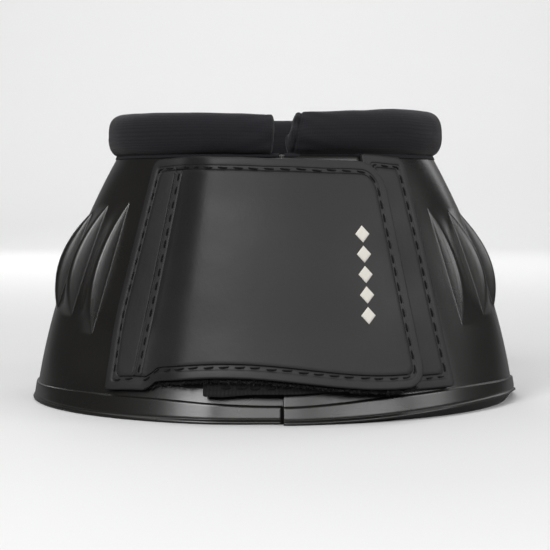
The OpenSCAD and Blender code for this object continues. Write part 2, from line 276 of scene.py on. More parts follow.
def plate(name, patch, base, thick, profile, sx, sy, relief=None, under=None):
    """A solid plate on a patch. Nested loops step inward by profile's (inset, height share) pairs on the outer face,
    round the edge to the inner face; both faces are filled by Coons grids. base(u, z) is the inner face's offset,
    relief(u, z, inset) is added to the outer face."""
    under = under or [(0.9, 0.0), (0.3, 0.06), (0.06, 0.25)]
    relief = relief or (lambda u, z, p: 0 * u)
    outer_p, inner_p = profile[-1][0], under[0][0]
    n, m = len(sx), len(sy)
    parts = []
    between = [(p, s, False) for p, s in under[1:] + profile[:-1]]
    for inset, share, fills in [(inner_p, 0.0, True), *between, (outer_p, profile[-1][1], True)]:
        flat = patch.loop(inset, sx, sy)
        u, z = patch.place(fill(flat, sx, sy) if fills else flat, inset)
        top = relief(u, z, inset) if share > 0.5 else 0
        parts.append((u.ravel(), z.ravel(), (base(u, z) + thick * share + top).ravel(), np.full(u.size, inset)))
    u, z, o, inset = (np.concatenate([p[k] for p in parts]) for k in range(4))
    i, j = np.arange(n), np.arange(m)
    edge = np.concatenate([i[:-1] * m, (n - 1) * m + j[:-1], i[:0:-1] * m + m - 1, j[:0:-1]])
    size, count = len(edge), len(parts) - 2
    rings = [n * m + k * size + np.arange(size) for k in range(count)]
    loops = np.array([edge, *rings, n * m + count * size + edge])
    a, c = loops[:-1], loops[1:]
    strips = np.stack([a, np.roll(a, -1, 1), np.roll(c, -1, 1), c], -1).reshape(-1, 4)
    flat = grid_faces(n, m)
    faces = np.vstack([flat[:, ::-1], strips, flat + n * m + count * size])
    uv = np.stack([u * MM_PER_DEGREE, z], -1) / 10
    return make(name, at(patch.b, u, z, o), faces, uv=uv, marks={"inset": inset})


def level(value):
    """A limit or offset that is the same everywhere."""
    return lambda u, *rest: value + 0 * u


def shares(n, crowd=0.25):
    """Shares from -1 to 1, closer together near both ends."""
    s = np.linspace(-1, 1, n)
    return mix(s, np.sin(s * math.pi / 2), crowd)


def crowded(n, crowd, ends, extra=()):
    """Shares with those in ends added near both ends, and any extra ones."""
    return np.unique(np.concatenate([shares(n, crowd), -np.array(ends), ends, extra]))


def tubes(name, centre, tangent, normal, radius, sides=6):
    """Many thin tubes at once. centre, tangent and normal are (count, steps, 3), radius is a number."""
    count, steps = centre.shape[:2]
    tangent = tangent / np.maximum(np.linalg.norm(tangent, axis=-1, keepdims=True), 1e-9)
    side = np.cross(tangent, normal)
    side = side / np.maximum(np.linalg.norm(side, axis=-1, keepdims=True), 1e-9)
    up = np.cross(side, tangent)
    a = np.arange(sides) / sides * 2 * math.pi
    spread = side[:, :, None] * np.cos(a)[None, None, :, None] + up[:, :, None] * np.sin(a)[None, None, :, None]
    co = centre[:, :, None] + radius * spread
    quads = grid_faces(steps, sides, wrap=True)[:, ::-1]
    caps = np.array([np.arange(sides), (steps - 1) * sides + np.arange(sides)[::-1]])
    offset = (np.arange(count) * steps * sides)[:, None, None]
    faces = (quads[None] + offset).reshape(-1, 4).tolist() + (caps[None] + offset).reshape(-1, sides).tolist()
    v = np.linspace(0, 1, steps)[None, :, None] * np.ones((count, 1, sides))
    w = (np.arange(sides) / sides)[None, None, :] * np.ones((count, steps, 1))
    return make(name, co, faces, uv=np.stack([w, v + np.arange(count)[:, None, None]], -1))


def stitches(name, b, lines, lift, seed):
    """Thread dashes along lines of (angles, heights). Each dash is a tube whose middle stands proud of the surface
    and whose two ends dive into it: offset = surface + r (0.75 - 1.9 s^4) for s from -1 to 1."""
    rng = np.random.default_rng(seed)
    centres, normals = [], []
    s = np.linspace(-1, 1, 7)
    for u, z in lines:
        p = at(b, u, z, 0 * u)
        run = np.concatenate([[0], np.cumsum(np.linalg.norm(np.diff(p, axis=0), axis=1))])
        count = max(1, round(run[-1] / mm(b.stitch_pitch)))
        pitch = run[-1] / count
        mid = (np.arange(count) + 0.5) * pitch + rng.normal(0, 0.12, count)
        d = mid[:, None] + s[None] * pitch * 0.31
        uu, zz = np.interp(d, run, u), np.interp(d, run, z)
        sway = rng.normal(0, 0.1, (count, 1)) + 0.12 * s[None]
        r = mm(b.thread_diameter) / 2
        o = lift(uu, zz) + r * (0.75 - 1.9 * s[None] ** 4)
        centres.append(at(b, uu, zz + sway, o))
        normals.append(at(b, uu, zz, o + 1) - at(b, uu, zz, o))
    centre, normal = np.concatenate(centres), np.concatenate(normals)
    return tubes(name, centre, np.gradient(centre, axis=1), normal, mm(b.thread_diameter) / 2, sides=8)


def sew(name, b, lines, lift, seed, body, node):
    """Stitches finished as thread, standing for one node of the CAD model."""
    return finish_piece(stitches(name, b, lines, lift, seed), "thread", body, [node])


def nap(seed):
    """Relief of brushed pile."""
    return lambda u, z, inset: 0.1 * hash_wave(u * 3, z * 3, seed, 1.0)


def cut(u, z, keep):
    """The longest run of a closed line for which keep(u, z) holds."""
    ok = keep(u, z)
    start = int(np.argmin(ok)) if not ok.all() else 0
    u, z, ok = np.roll(u, -start), np.roll(z, -start), np.roll(ok, -start)
    edges = np.flatnonzero(np.diff(np.concatenate([[0], ok.astype(int), [0]])))
    runs = edges.reshape(-1, 2)
    a, c = runs[np.argmax(runs[:, 1] - runs[:, 0])]
    return u[a:c], z[a:c]


# ---------------- materials


def group(name, inputs, outputs):
    """A shader node group with float inputs and outputs, and its own input and output nodes."""
    tree = bpy.data.node_groups.new(name, "ShaderNodeTree")
    for key, value in inputs.items():
        tree.interface.new_socket(name=key, in_out="INPUT", socket_type="NodeSocketFloat").default_value = value
    for key in outputs:
        tree.interface.new_socket(name=key, in_out="OUTPUT", socket_type="NodeSocketFloat")
    return tree, tree.nodes.new("NodeGroupInput"), tree.nodes.new("NodeGroupOutput")


def add(tree, kind, links=None, **settings):
    """A node with its properties set; links maps an input's name or number to a socket or a value."""
    node = tree.nodes.new(kind)
    for key, value in settings.items():
        setattr(node, key, value)
    for key, value in (links or {}).items():
        if hasattr(value, "is_linked"):
            tree.links.new(value, node.inputs[key])
        else:
            node.inputs[key].default_value = value
    return node


def math_node(tree, operation, a, b=0.0):
    """Result of a math node on two sockets or values."""
    return add(tree, "ShaderNodeMath", {0: a, 1: b}, operation=operation).outputs[0]


def times(tree, a, b):
    """Product of two sockets or values."""
    return math_node(tree, "MULTIPLY", a, b)


def plus(tree, a, b):
    """Sum of two sockets or values."""
    return math_node(tree, "ADD", a, b)


def coords(tree, kind="Object"):
    """One of the texture coordinate outputs."""
    return add(tree, "ShaderNodeTexCoord").outputs[kind]


def noise(tree, where, scale, detail=2.0, roughness=0.5):
    """Value of a noise texture."""
    links = {"Vector": where, "Scale": scale, "Detail": detail, "Roughness": roughness}
    return add(tree, "ShaderNodeTexNoise", links).outputs[0]


def ramp(tree, value, low, high):
    """A value mapped from low..high to 0..1, smoothly."""
    node = add(tree, "ShaderNodeMapRange", {0: value, 1: low, 2: high}, interpolation_type="SMOOTHSTEP")
    return node.outputs[0]


def put_out(tree, out, **values):
    """Links each named value to the group's output of that name."""
    for key, value in values.items():
        tree.links.new(value, out.inputs[key])
    return tree


def grain_group():
    """Moulded rubber: fine grain in Height, coarse dimples in Dimple, broad smudges in Smudge, lint specks in Lint."""
    tree, given, out = group("Rubber grain", {"Fine": 1400.0, "Broad": 22.0}, ["Height", "Dimple", "Smudge", "Lint"])
    where = coords(tree)
    drawn = add(tree, "ShaderNodeMapping", {"Vector": where, "Scale": (1.0, 1.0, 1.8)})
    specks = add(tree, "ShaderNodeTexVoronoi", {"Vector": where, "Scale": 420.0})
    patchy = ramp(tree, noise(tree, where, 60.0), 0.55, 0.72)
    return put_out(
        tree, out,
        Height=noise(tree, where, given.outputs["Fine"], 3.0),
        Dimple=noise(tree, where, 170.0, 4.0, 0.55),
        Smudge=ramp(tree, noise(tree, drawn.outputs[0], given.outputs["Broad"]), 0.3, 0.7),
        Lint=times(tree, ramp(tree, specks.outputs["Distance"], 0.16, 0.05), patchy),
    )


def knit_group():
    """Knit or weave from the UV map, one unit of which is 10 mm: rows of loops lean one way, then the other."""
    tree, given, out = group("Knit", {"Columns": 14.0, "Rows": 14.0, "Lean": 0.35}, ["Height", "Thread"])
    uv = add(tree, "ShaderNodeSeparateXYZ", {0: coords(tree, "UV")})
    wobble = noise(tree, coords(tree), 300.0)
    row = plus(tree, times(tree, uv.outputs["Y"], given.outputs["Rows"]), times(tree, wobble, 0.5))
    lean = times(tree, math_node(tree, "PINGPONG", row, 1.0), given.outputs["Lean"])
    column = plus(tree, times(tree, uv.outputs["X"], given.outputs["Columns"]), lean)
    wave_a, wave_b = (
        math_node(tree, "ABSOLUTE", math_node(tree, "SINE", times(tree, line, math.pi))) for line in (column, row)
    )
    height = times(tree, math_node(tree, "POWER", wave_a, 0.6), plus(tree, times(tree, wave_b, 0.6), 0.4))
    return put_out(tree, out, Height=height, Thread=wobble)


def fuzz_group():
    """Felted pile: noise in Height and the distance between tufts in Tuft."""
    tree, given, out = group("Pile", {"Scale": 900.0}, ["Height", "Tuft"])
    where, scale = coords(tree), given.outputs["Scale"]
    tuft = add(tree, "ShaderNodeTexVoronoi", {"Vector": where, "Scale": scale})
    return put_out(tree, out, Height=noise(tree, where, scale, 4.0, 0.8), Tuft=tuft.outputs["Distance"])


def painted_rim_highlight_group():
    """Painted highlight along a plate's edge, from the inset attribute: 1 at the edge, 0 from Width mm inward, broken
    by noise.
    """
    tree, given, out = group("Painted edge highlight", {"Width": 1.2}, ["Wear"])
    inset = add(tree, "ShaderNodeAttribute", attribute_name="inset").outputs["Fac"]
    near = add(tree, "ShaderNodeMapRange", {0: inset, 1: given.outputs["Width"], 2: 0.0}).outputs[0]
    return put_out(tree, out, Wear=times(tree, near, ramp(tree, noise(tree, coords(tree), 240.0, 3.0), 0.35, 0.65)))


def place(tree, made, **values):
    """A group placed in a material with its own values."""
    node = tree.nodes.new("ShaderNodeGroup")
    node.node_tree = made
    for key, value in values.items():
        node.inputs[key].default_value = value
    return node


def start_material(name, **fixed):
    """A material whose Principled shader has its constants set, ready for its varying inputs."""
    mat = bpy.data.materials.new("boot_" + name)
    mat.use_nodes = True
    shader = mat.node_tree.nodes["Principled BSDF"]
    for key, value in fixed.items():
        shader.inputs[key.replace("_", " ")].default_value = value
    return mat, mat.node_tree, shader


def tint(tree, shader, low, high, mask):
    """Base colour mixed from low to high by a mask."""
    node = add(tree, "ShaderNodeMix", {0: mask, 6: (*low, 1), 7: (*high, 1)}, data_type="RGBA")
    tree.links.new(node.outputs[2], shader.inputs["Base Color"])
    return node


def roughen(tree, shader, low, high, mask):
    """Roughness from low to high by a mask."""
    node = add(tree, "ShaderNodeMapRange", {0: mask, 3: low, 4: high})
    tree.links.new(node.outputs[0], shader.inputs["Roughness"])


def bump(tree, shader, height, strength, distance):
    """The shader's normal bent by a height."""
    node = add(tree, "ShaderNodeBump", {"Height": height, "Strength": strength, "Distance": distance})
    tree.links.new(node.outputs[0], shader.inputs["Normal"])


def scaled(colour, k):
    """A colour made darker or lighter."""
    return tuple(min(1.0, c * k) for c in colour)


def build_materials(look):
    """One procedural material per record slot."""
    grain, knit, pile, rim = grain_group(), knit_group(), fuzz_group(), painted_rim_highlight_group()
    made = {}

    def rubber(name, colour, low, high, specular, fine, dimple, painted_rim_highlight):
        """Roughness from low to high; fine and dimple are the shares of the two grains in the bump. The last argument
        adds a painted highlight along the plate's edge to the colour.
        """
        mat, tree, shader = start_material(name, Specular_IOR_Level=specular)
        g = place(tree, grain)
        mask = times(tree, g.outputs["Smudge"], 0.3)
        # painted highlight: the colour is lighter along the plate's edge, where its bevel catches the light
        if painted_rim_highlight:
            mask = plus(tree, mask, times(tree, place(tree, rim).outputs["Wear"], 0.5))
        mask = plus(tree, mask, times(tree, g.outputs["Lint"], 0.5))
        tint(tree, shader, scaled(colour, 0.88), scaled(colour, 1.6), mask)
        roughen(tree, shader, low, high, g.outputs["Smudge"])
        height = plus(tree, times(tree, g.outputs["Height"], fine), times(tree, g.outputs["Dimple"], dimple))
        bump(tree, shader, height, 0.3, 0.0005)
        made[name] = mat

    rubber("shell_rubber", look.shell, 0.26, 0.3, 0.75, 0.05, 0.12, False)
    # the strap's edges get the painted edge highlight
    rubber("strap_rubber", look.strap, 0.48, 0.58, 0.4, 0.1, 1.0, True)

    def cloth(name, colour, columns, rows, lean, depth, sheen):
        """columns and rows of thread to 10 mm, leaning by lean of a column."""
        mat, tree, shader = start_material(name, Sheen_Weight=sheen, Sheen_Roughness=0.45, Specular_IOR_Level=0.25)
        k = place(tree, knit, Columns=columns, Rows=rows, Lean=lean)
        mask = times(tree, k.outputs["Height"], plus(tree, k.outputs["Thread"], 0.4))
        tint(tree, shader, scaled(colour, 0.6), scaled(colour, 1.35), mask)
        roughen(tree, shader, 0.75, 0.95, k.outputs["Thread"])
        bump(tree, shader, k.outputs["Height"], 0.5, depth)
        made[name] = mat

    cloth("collar_fabric", look.collar, 17.0, 11.0, 0.5, 0.00016, 0.12)
    cloth("webbing", look.webbing, 9.0, 4.0, 0.0, 0.0004, 0.1)
    cloth("thread", look.thread, 40.0, 3.0, 1.0, 0.0001, 0.1)

    def fuzzy(name, colour, scale, depth, sheen):
        """Pile with tufts of the given scale."""
        mat, tree, shader = start_material(name, Sheen_Weight=sheen, Sheen_Roughness=0.5, Specular_IOR_Level=0.2)
        p = place(tree, pile, Scale=scale)
        tint(tree, shader, scaled(colour, 0.4), scaled(colour, 1.8), p.outputs["Tuft"])
        roughen(tree, shader, 0.8, 1.0, p.outputs["Height"])
        bump(tree, shader, p.outputs["Height"], 0.8, depth)
        made[name] = mat

    fuzzy("loop_pile", look.tape, 900.0, 0.0008, 0.3)
    fuzzy("hook_tape", look.tape, 1300.0, 0.0006, 0.15)
    fuzzy("collar_foam", look.foam, 700.0, 0.0005, 0.0)

    mat, tree, shader = start_material("mark", Specular_IOR_Level=0.4)
    g = place(tree, grain, Fine=2200.0)
    tint(tree, shader, scaled(look.mark, 0.92), look.mark, g.outputs["Smudge"])
    roughen(tree, shader, 0.4, 0.55, g.outputs["Smudge"])
    bump(tree, shader, g.outputs["Height"], 0.2, 0.00005)
    made["mark"] = mat
    return made


class BOOT_OT_materials(bpy.types.Operator):
    """Build one procedural material for each of the record's slots"""

    bl_idname = "boot.materials"
    bl_label = "Materials"

    def execute(self, context):
        build_materials(context.scene.boot_look)
        return {"FINISHED"}


def finish_piece(obj, slot_name, body=None, replaces=()):
    """Gives a piece its material and slot, the CAD nodes it stands for and the body it rides on."""
    obj.data.materials.append(bpy.data.materials["boot_" + slot_name])
    if replaces:
        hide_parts(*replaces)
    if body:
        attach(obj, body)
    return obj


# ---------------- shell


LIP = [(0.0, 0.1), (0.12, 0.7), (0.35, 1.1), (0.7, 1.28), (1.05, 1.2), (1.35, 0.92), (1.6, 0.55), (1.8, 0.7),
       (2.15, 0.8)]
STEP = [(-0.6, 0.8), (-0.3, 0.76), (-0.12, 0.62), (0.0, 0.35), (0.1, 0.08), (0.3, 0.0)]


def wall_rows(u):
    """Heights of the shell's rows at each angle and the hem's stand-out on each row: lip, band, step, wall."""
    top = band_top(u)[:, None]
    lip = np.array(LIP)
    step = np.array(STEP)
    plain_low, ribbed, plain_high = np.linspace(9.5, 24, 7), np.linspace(25.5, 77.5, 56), np.linspace(79.5, 91.5, 7)
    wall = np.concatenate([plain_low, ribbed, plain_high, [92.3, 92.8, 93.0]])
    ones = np.ones_like(top)
    between = mix(2.6, top - 0.9, np.linspace(0, 1, 4)[None])
    z = np.hstack([ones * lip[:, 0], between, top + step[:, 0], ones * wall])
    proud = np.concatenate([lip[:, 1], np.full(4, 0.8), step[:, 1], np.zeros(len(wall))])
    return z, np.broadcast_to(proud, z.shape)


def hem_wave(u, z):
    """The right hem's outer face lifts a little off the floor towards the side, less so higher up."""
    rise = ease((u - 4) / 58) * (1 - ease((u - 74) / 26))
    return 3.4 * rise * np.where(z < 7, mix(1.0, 0.62, z / 7), 0.62 * (1 - ease((z - 7) / 20)))


def shell_half(b, u, share, start, right):
    """Grid of one half: each column is a closed profile, down the inner wall and up the outer one.
    share thins a column towards its middle surface, so that the front end is rounded and closed."""
    z, proud = wall_rows(u)
    uu = u[:, None] + 0 * z
    crown = np.where(z > TOP_ROUND, (z - TOP_ROUND) ** 2 * 3, 0)
    if right:
        outer = rib_relief(b, uu, z, start, RIBS_RIGHT) + lap_rise(uu) + proud
        inner = mix(-1.6, -mm(b.wall), ease((uu - LAP_END - 1) / 8))
        lifted = z + hem_wave(uu, z)
    else:
        lifted = z
        outer = rib_relief(b, uu, z, start, RIBS_LEFT) - lap_dip(uu) + proud * ease((1.7 - uu) / 0.5)
        inner = -mm(b.wall) - (4.5 - mm(b.wall)) * ease((uu + 16) / 16)
    outer = outer - crown
    inner = inner + crown + np.where(z < 0.8, (0.8 - np.minimum(z, 0.8)) ** 2, 0)
    middle = (outer + inner) / 2
    outer, inner = mix(middle, outer, share[:, None]), mix(middle, inner, share[:, None])
    uu, zz = np.hstack([uu[:, ::-1], uu]), np.hstack([z[:, ::-1], lifted])
    return at(b, uu, zz, np.hstack([inner[:, ::-1], outer])), np.stack([uu * MM_PER_DEGREE, zz], -1) / 10


def three_pieces(name, right, left, make_half, uv_shift, slot_name, replaces, cut_left=-SPLIT_BACK):
    """One surface from the right front round the back to the left front, cut into a right, a back and a left piece.
    Each has the normals of the whole surface. The back piece rides on no body: its transform is baked into its mesh.
    right and left are the angles of the columns; make_half(u, is_right) gives points and UVs."""
    (pr, uv_r), (pl, uv_l) = make_half(right, True), make_half(left, False)
    points, uv = np.concatenate([pr, pl]), np.concatenate([uv_r, uv_l + np.array([uv_shift, 0])])
    normals = surface_normals(points)
    ends = np.searchsorted(right, SPLIT_BACK), len(right) + np.searchsorted(left, cut_left)
    cuts = [0, int(ends[0]), int(ends[1]), len(points) - 1]
    made = []
    for side, a, c, nodes in zip(("right", "back", "left"), cuts[:-1], cuts[1:], replaces):
        part = slice(a, c + 1)
        obj = make(f"{name}_{side}", points[part], grid_faces(*points[part].shape[:2], wrap=True), uv=uv[part])
        obj.data.normals_split_custom_set_from_vertices(normals[part].reshape(-1, 3).tolist())
        made.append(finish_piece(obj, slot_name, replaces=nodes))
    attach(made[0], "right_half")
    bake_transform(made[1])
    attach(made[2], "left_half")
    return made


class BOOT_OT_shell(bpy.types.Operator):
    """Build the ribbed rubber shell in three pieces that meet without a line: right, back and left"""

    bl_idname = "boot.shell"
    bl_label = "Shell"

    def execute(self, context):
        b = context.scene.boot_shape
        start_r, start_l = math.degrees(b.rib_start_right), math.degrees(b.rib_start_left)
        ribs_r, ribs_l = rib_columns(b, start_r), rib_columns(b, start_l)
        end = np.array([0, 0, 0, 0.12, 0.35, 0.8])
        thin = np.array([0, 0.5, 0.8, 0.93, 1, 1])
        right = [LAP_EDGE + end, np.linspace(3.4, start_r - 1.2, 34), ribs_r, np.linspace(ribs_r[-1] + 1, 180, 18)]
        left = [np.linspace(-180, -ribs_l[-1] - 1, 18)[1:], -ribs_l[::-1], np.linspace(-start_l + 1.2, -2, 34),
                np.linspace(-1.4, 2.4, 16), np.linspace(4, LAP_END - 1, 7), LAP_END - end[::-1]]

        def half(u, is_right):
            whole = np.ones(len(u) - len(thin))
            share = np.concatenate([thin, whole] if is_right else [whole, thin[::-1]])
            return shell_half(b, u, share, start_r if is_right else start_l, is_right)

        three_pieces("shell_wall", np.concatenate(right), np.concatenate(left), half, 48.6, "shell_rubber",
                     [["shell_right"], ["shell_left"], ["shell_left"]])
        return {"FINISHED"}


# ---------------- collar


COLLAR_TOP = [(-180, 110.0), (-120, 109.6), (-75, 109.2), (-50, 108.9), (-30, 108.5), (-12, 107.9), (0, 107.2),
              (4, 107.8), (14, 108.7), (30, 109.4), (48, 110.4), (70, 110.3), (110, 109.7), (180, 110.0)]
COLLAR_FOOT = [(-180, 93.2), (-60, 93.0), (-46, 92.9), (-20, 93.1), (-6, 92.8), (0, 92.6), (8, 92.7), (25, 92.9),
               (46, 92.9), (70, 93.2), (180, 93.2)]
COLLAR_END_RIGHT = 4.8
COLLAR_END_LEFT = -0.3


def collar_grid(b, u, end, sides, right):
    """Padded roll: a rounded oblong section carried round the ellipse. Near its front end the section draws in to a
    cap, and seeded ripples and end folds move the skin by a few tenths of a millimetre."""
    a = (np.arange(sides) / sides * 2 * math.pi)[None]
    c, s = np.cos(a), np.sin(a)
    oblong = lambda v: np.sign(v) * np.abs(v) ** 0.78
    uu = u[:, None] + 0 * a
    slant = (1.25 * s - 0.2 * c) if right else (0.3 * s)
    d = np.abs(uu - end) * COLLAR_MM_PER_DEGREE
    uu = uu + slant * (1 - ease(d / 22))
    tuck = 1.25 * ease((uu - 5) / 7) * ease((60 - uu) / 14) * ease(c / 0.4)
    top, foot = knots(uu, COLLAR_TOP), knots(uu, COLLAR_FOOT) + tuck
    shrink = np.clip(1 - (1 - np.clip(d / (1.9 if right else 1.5), 0, 1)) ** 2.6, 0, 1) ** 0.5
    shrink = mix(0.02, 1.0, shrink)
    folds = np.exp(-d / 7.0) * (0.55 * np.sin(5 * a + (2.2 if right else 0.4)) + 0.35 * np.sin(9 * a + d * 0.5))
    seam = (-1.0 if right else -0.15) * np.exp(-(((d - 2.7 - 0.5 * s) / 0.45) ** 2))
    ripple = 0.28 * hash_wave(uu * 0.10, a * 1.0, 5, 1.0) + 0.12 * hash_wave(uu * 0.4, a * 2.5, 6, 1.0)
    pinch = 1 - (0.2 if right else 0.06) * np.exp(-d / 5.0)
    skin = folds * (1.0 if right else 0.5) + seam + ripple
    half_t = (mm(b.collar_thickness) / 2 * pinch + skin) * shrink
    half_h = ((top - foot) / 2 + 0.5 * skin) * shrink
    o, z = half_t * oblong(c), (top + foot) / 2 + half_h * oblong(s)
    around = np.abs(a - math.pi) / (2 * math.pi) * 4.4
    return ring(b, uu, mm(b.collar_half_width), o, z), np.stack(np.broadcast_arrays(uu * COLLAR_MM_PER_DEGREE / 10, around), -1)


BINDING = [(0.02, 92.3), (0.25, 92.15), (0.4, 92.35), (0.42, 92.8), (0.4, 93.3), (0.25, 93.6), (0.02, 93.5)]


def binding(b, u, rise):
    """Flat bound seam under the roll: a rounded strip carried round the shell's top edge."""
    out, z = np.array(BINDING).T[:, None]
    uu = u[:, None] + 0 * out
    fray = 0.08 * hash_wave(uu * 1.5, z, 9, 1.0)
    o = out + rise(uu) + fray - 1.2 * ease((uu - 6.5) / 3) * ease((31 - uu) / 3)
    return at(b, uu, z + 0 * uu, o), np.stack([uu / 10, z / 10 + 0 * uu], -1)


class BOOT_OT_collar(bpy.types.Operator):
    """Build the padded collar, its folded front ends and the bound seam under it"""

    bl_idname = "boot.collar"
    bl_label = "Collar"

    def execute(self, context):
        b = context.scene.boot_shape
        near = np.array([0, 0.02, 0.08, 0.2, 0.4, 0.7, 1.1, 1.6, 2.2, 2.7, 3.0, 3.3, 3.6, 3.9, 4.2, 4.6, 5, 5.4, 5.9,
                         6.5, 7.3, 8.3, 9.5])
        right = np.concatenate([COLLAR_END_RIGHT + near, np.linspace(15.6, 180, 150)])
        left = np.concatenate([np.linspace(-180, -11.5, 150)[1:], COLLAR_END_LEFT - near[::-1]])

        def roll(u, is_right):
            return collar_grid(b, u, COLLAR_END_RIGHT if is_right else COLLAR_END_LEFT, 72, is_right)

        def seam(u, is_right):
            return binding(b, u, lap_rise if is_right else lambda v: 0.35 * ease((v + 12) / 6))

        covers = [["collar_cover_right", "collar_end_right"], ["collar_cover_left"],
                  ["collar_cover_left", "collar_end_left"]]
        turn = 36.0 * COLLAR_MM_PER_DEGREE
        for piece in three_pieces("collar_roll", right, left, roll, turn, "collar_fabric", covers):
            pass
        three_pieces("collar_binding", np.linspace(3.0, 180, 150), np.linspace(-180, 1.4, 150)[1:], seam, 36.0,
                     "collar_fabric", [["collar_seam_right"], ["collar_seam_left"], ["collar_seam_left"]], -147.0)
        for node in ("collar_core_left", "collar_core_right"):
            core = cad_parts[node]
            core.data.materials.clear()
            core.data.materials.append(bpy.data.materials["boot_collar_foam"])
        return {"FINISHED"}


# ---------------- closure


def strap_lift(u):
    """Inner face of the outer strap: on the shell at the sewn strip, lifted over the tongue, lower at its free edge."""
    return mix(mix(0.2, 6.2, ease((u + 30.6) / 11.5)), 4.8, ease((u - 24) / 10))


def strap_low(u):
    """Lower edge: a short step up from the sewn strip, then a long shallow bow."""
    bow = 11.7 + 2.25 * (1 + np.cos(np.clip(math.pi * np.abs(u + 9) / 35, 0, math.pi)))
    return mix(mix(9.4, 10.3, ease((u + 43) / 12)), bow, ease((u + 30.4) / 4.2))


def strap_high(u):
    """Upper edge, falling a little to both ends."""
    return knots(u, [(-44, 91.6), (-27, 92.6), (-13, 92.2), (0, 91.7), (19, 91.0), (34, 90.4)])


def strap_patch(b):
    """The whole outer strap, sewn strip and flap; its left edge leans out below."""
    left = lambda z: -43.4 + 2.2 * ease((40 - z) / 34) + 0 * z
    right = level(33.8)
    return Patch(b, left, right, strap_low, strap_high, (1.6, 7.2, 10.5, 3.4))


SEWN = 0.86
RIM = [(0.06, 0.68), (0.2, 0.86), (0.5, 0.98), (0.9, 1.0), (1.8, 1.0), (2.8, 1.0), (2.95, 0.97), (3.08, SEWN),
       (3.3, SEWN), (4.4, SEWN), (4.6, 0.82), (4.72, 0.66), (4.84, 0.78), (4.95, 0.99), (5.15, 1.04), (6.2, 1.05)]
STITCH_INSET = 3.85


def box_line(z, top, bottom):
    """Angle of a line down the strap that leans with its sewn strip."""
    return mix(bottom, top, (z - 17) / 71)


def box_channel(u, z):
    """Sunk channel between the sewn strip and the flap: flat floor, with a narrow cut at the foot of each side."""
    a, c = box_line(z, -33.1, -33.5), box_line(z, -30.3, -31.2)
    inside = ease((u - a + 0.08) / 0.16) * ease((c - u + 0.08) / 0.16)
    cut_in = np.exp(-(((u - a - 0.2) / 0.14) ** 2)) + 0.6 * np.exp(-(((c - u - 0.2) / 0.14) ** 2))
    return -(1.05 - SEWN) * STRAP_T * inside - 0.35 * cut_in * inside


class BOOT_OT_strap(bpy.types.Operator):
    """Build the outer strap with its grooves, the stitching, the diamond mark and the fringed hook tape"""

    bl_idname = "boot.strap"
    bl_label = "Outer strap"

    def execute(self, context):
        b = context.scene.boot_shape
        patch = strap_patch(b)
        sx = crowded(46, 0.5, [0.97, 0.99, 0.999], np.linspace(-0.91, -0.76, 60))
        sy = crowded(40, 0.5, [0.97, 0.99, 0.999])

        def relief(u, z, inset):
            dish = 0.16 * hash_wave(u * 0.05, z * 0.05, 21, 1.0) * ease(inset / 6)
            return box_channel(u, z) * ease((inset - 4.3) / 0.4) + dish

        strap = plate("outer_strap", patch, lambda u, z: strap_lift(u), STRAP_T, RIM, sx, sy, relief)
        finish_piece(strap, "strap_rubber", replaces=["flap_anchor", "closure_flap"])
        top = lambda u, z: strap_lift(u) + STRAP_T * SEWN
        box_u, box_z = patch.along(STITCH_INSET)
        inner_z = np.linspace(87.2, 15.2, 40)
        box = [cut(box_u, box_z, lambda u, z: u < -33.0), (box_line(inner_z, -31.5, -32.2), inner_z)]
        sew("strap_box_stitching", b, box, top, 3, "left_half", "flap_anchor_stitching")
        edge = cut(box_u, box_z, lambda u, z: u > -31.4)
        edge_sewn = sew("strap_edge_stitching", b, [edge], top, 4, None, "flap_stitching")
        for piece in (strap, edge_sewn):
            bend_at(piece, b, FLAP_BEND, 1)
        low = lambda u: strap_low(u) - 1.1
        under = lambda u, z: strap_lift(u) - 1.15
        tape_patch = Patch(b, level(-28.6), level(32.2), low, lambda u: strap_high(u) - 3, (1, 2, 6, 1))
        edge_steps = [(0.1, 0.7), (0.4, 1.0), (1.0, 1.0)]
        tape = plate("strap_hook_tape", tape_patch, under, 0.9, edge_steps, shares(40), shares(24))
        finish_piece(tape, "hook_tape", "flap", ["flap_hook_tape"])
        rng = np.random.default_rng(11)
        count = 2300
        u = rng.uniform(-28.4, 32, count)
        z = low(u) + rng.uniform(0, 1.6, count)
        o = strap_lift(u) - rng.uniform(-0.5, 1.1, count)
        fringe = hairs("strap_hook_fringe", b, u, z, o, length=1.15, radius=0.08, rng=rng)
        finish_piece(fringe, "hook_tape", "flap")
        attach(finish_piece(diamonds("strap_mark", b), "mark", replaces=["flap_mark"]), "flap")
        return {"FINISHED"}


def bend_at(piece, b, angle, side):
    """Works out a hinge line at angle and the direction along the moving part, but only bakes the piece's transform
    into its mesh: nothing bends.
    """
    line, up = at(b, angle, 0.0, 2.9), at(b, angle, 90.0, 2.9)
    axis = (up - line) / np.linalg.norm(up - line)
    along = at(b, angle + side, 0.0, 2.9) - line
    along = along - axis * (along @ axis)
    along = along / np.linalg.norm(along)
    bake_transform(piece)


def hairs(name, b, u, z, o, length, radius, rng):
    """Short curved fibres: each leaves its root along a random lean, then curls, as root + d s + k s^2 for s from 0
    to 1."""
    count = len(u)
    root = at(b, u, z, o)[:, None]
    out = at(b, u, z, o + 1)[:, None] - root
    down = np.array([0, 0, -1.0])[None, None]
    side = np.cross(out, down)
    lean = rng.normal(0, 0.6, (count, 1, 1))
    d = down * rng.uniform(0.3, 1.0, (count, 1, 1)) + out * rng.uniform(-0.1, 0.6, (count, 1, 1)) + side * lean
    k = out * rng.normal(0, 0.6, (count, 1, 1)) + side * rng.normal(0, 0.6, (count, 1, 1))
    s = np.linspace(0, 1, 4)[None, :, None]
    size = length * rng.uniform(0.4, 1.0, (count, 1, 1))
    centre = root + size * (d * s + k * s**2)
    return tubes(name, centre, np.gradient(centre, axis=1), out + 0 * centre, radius, sides=3)


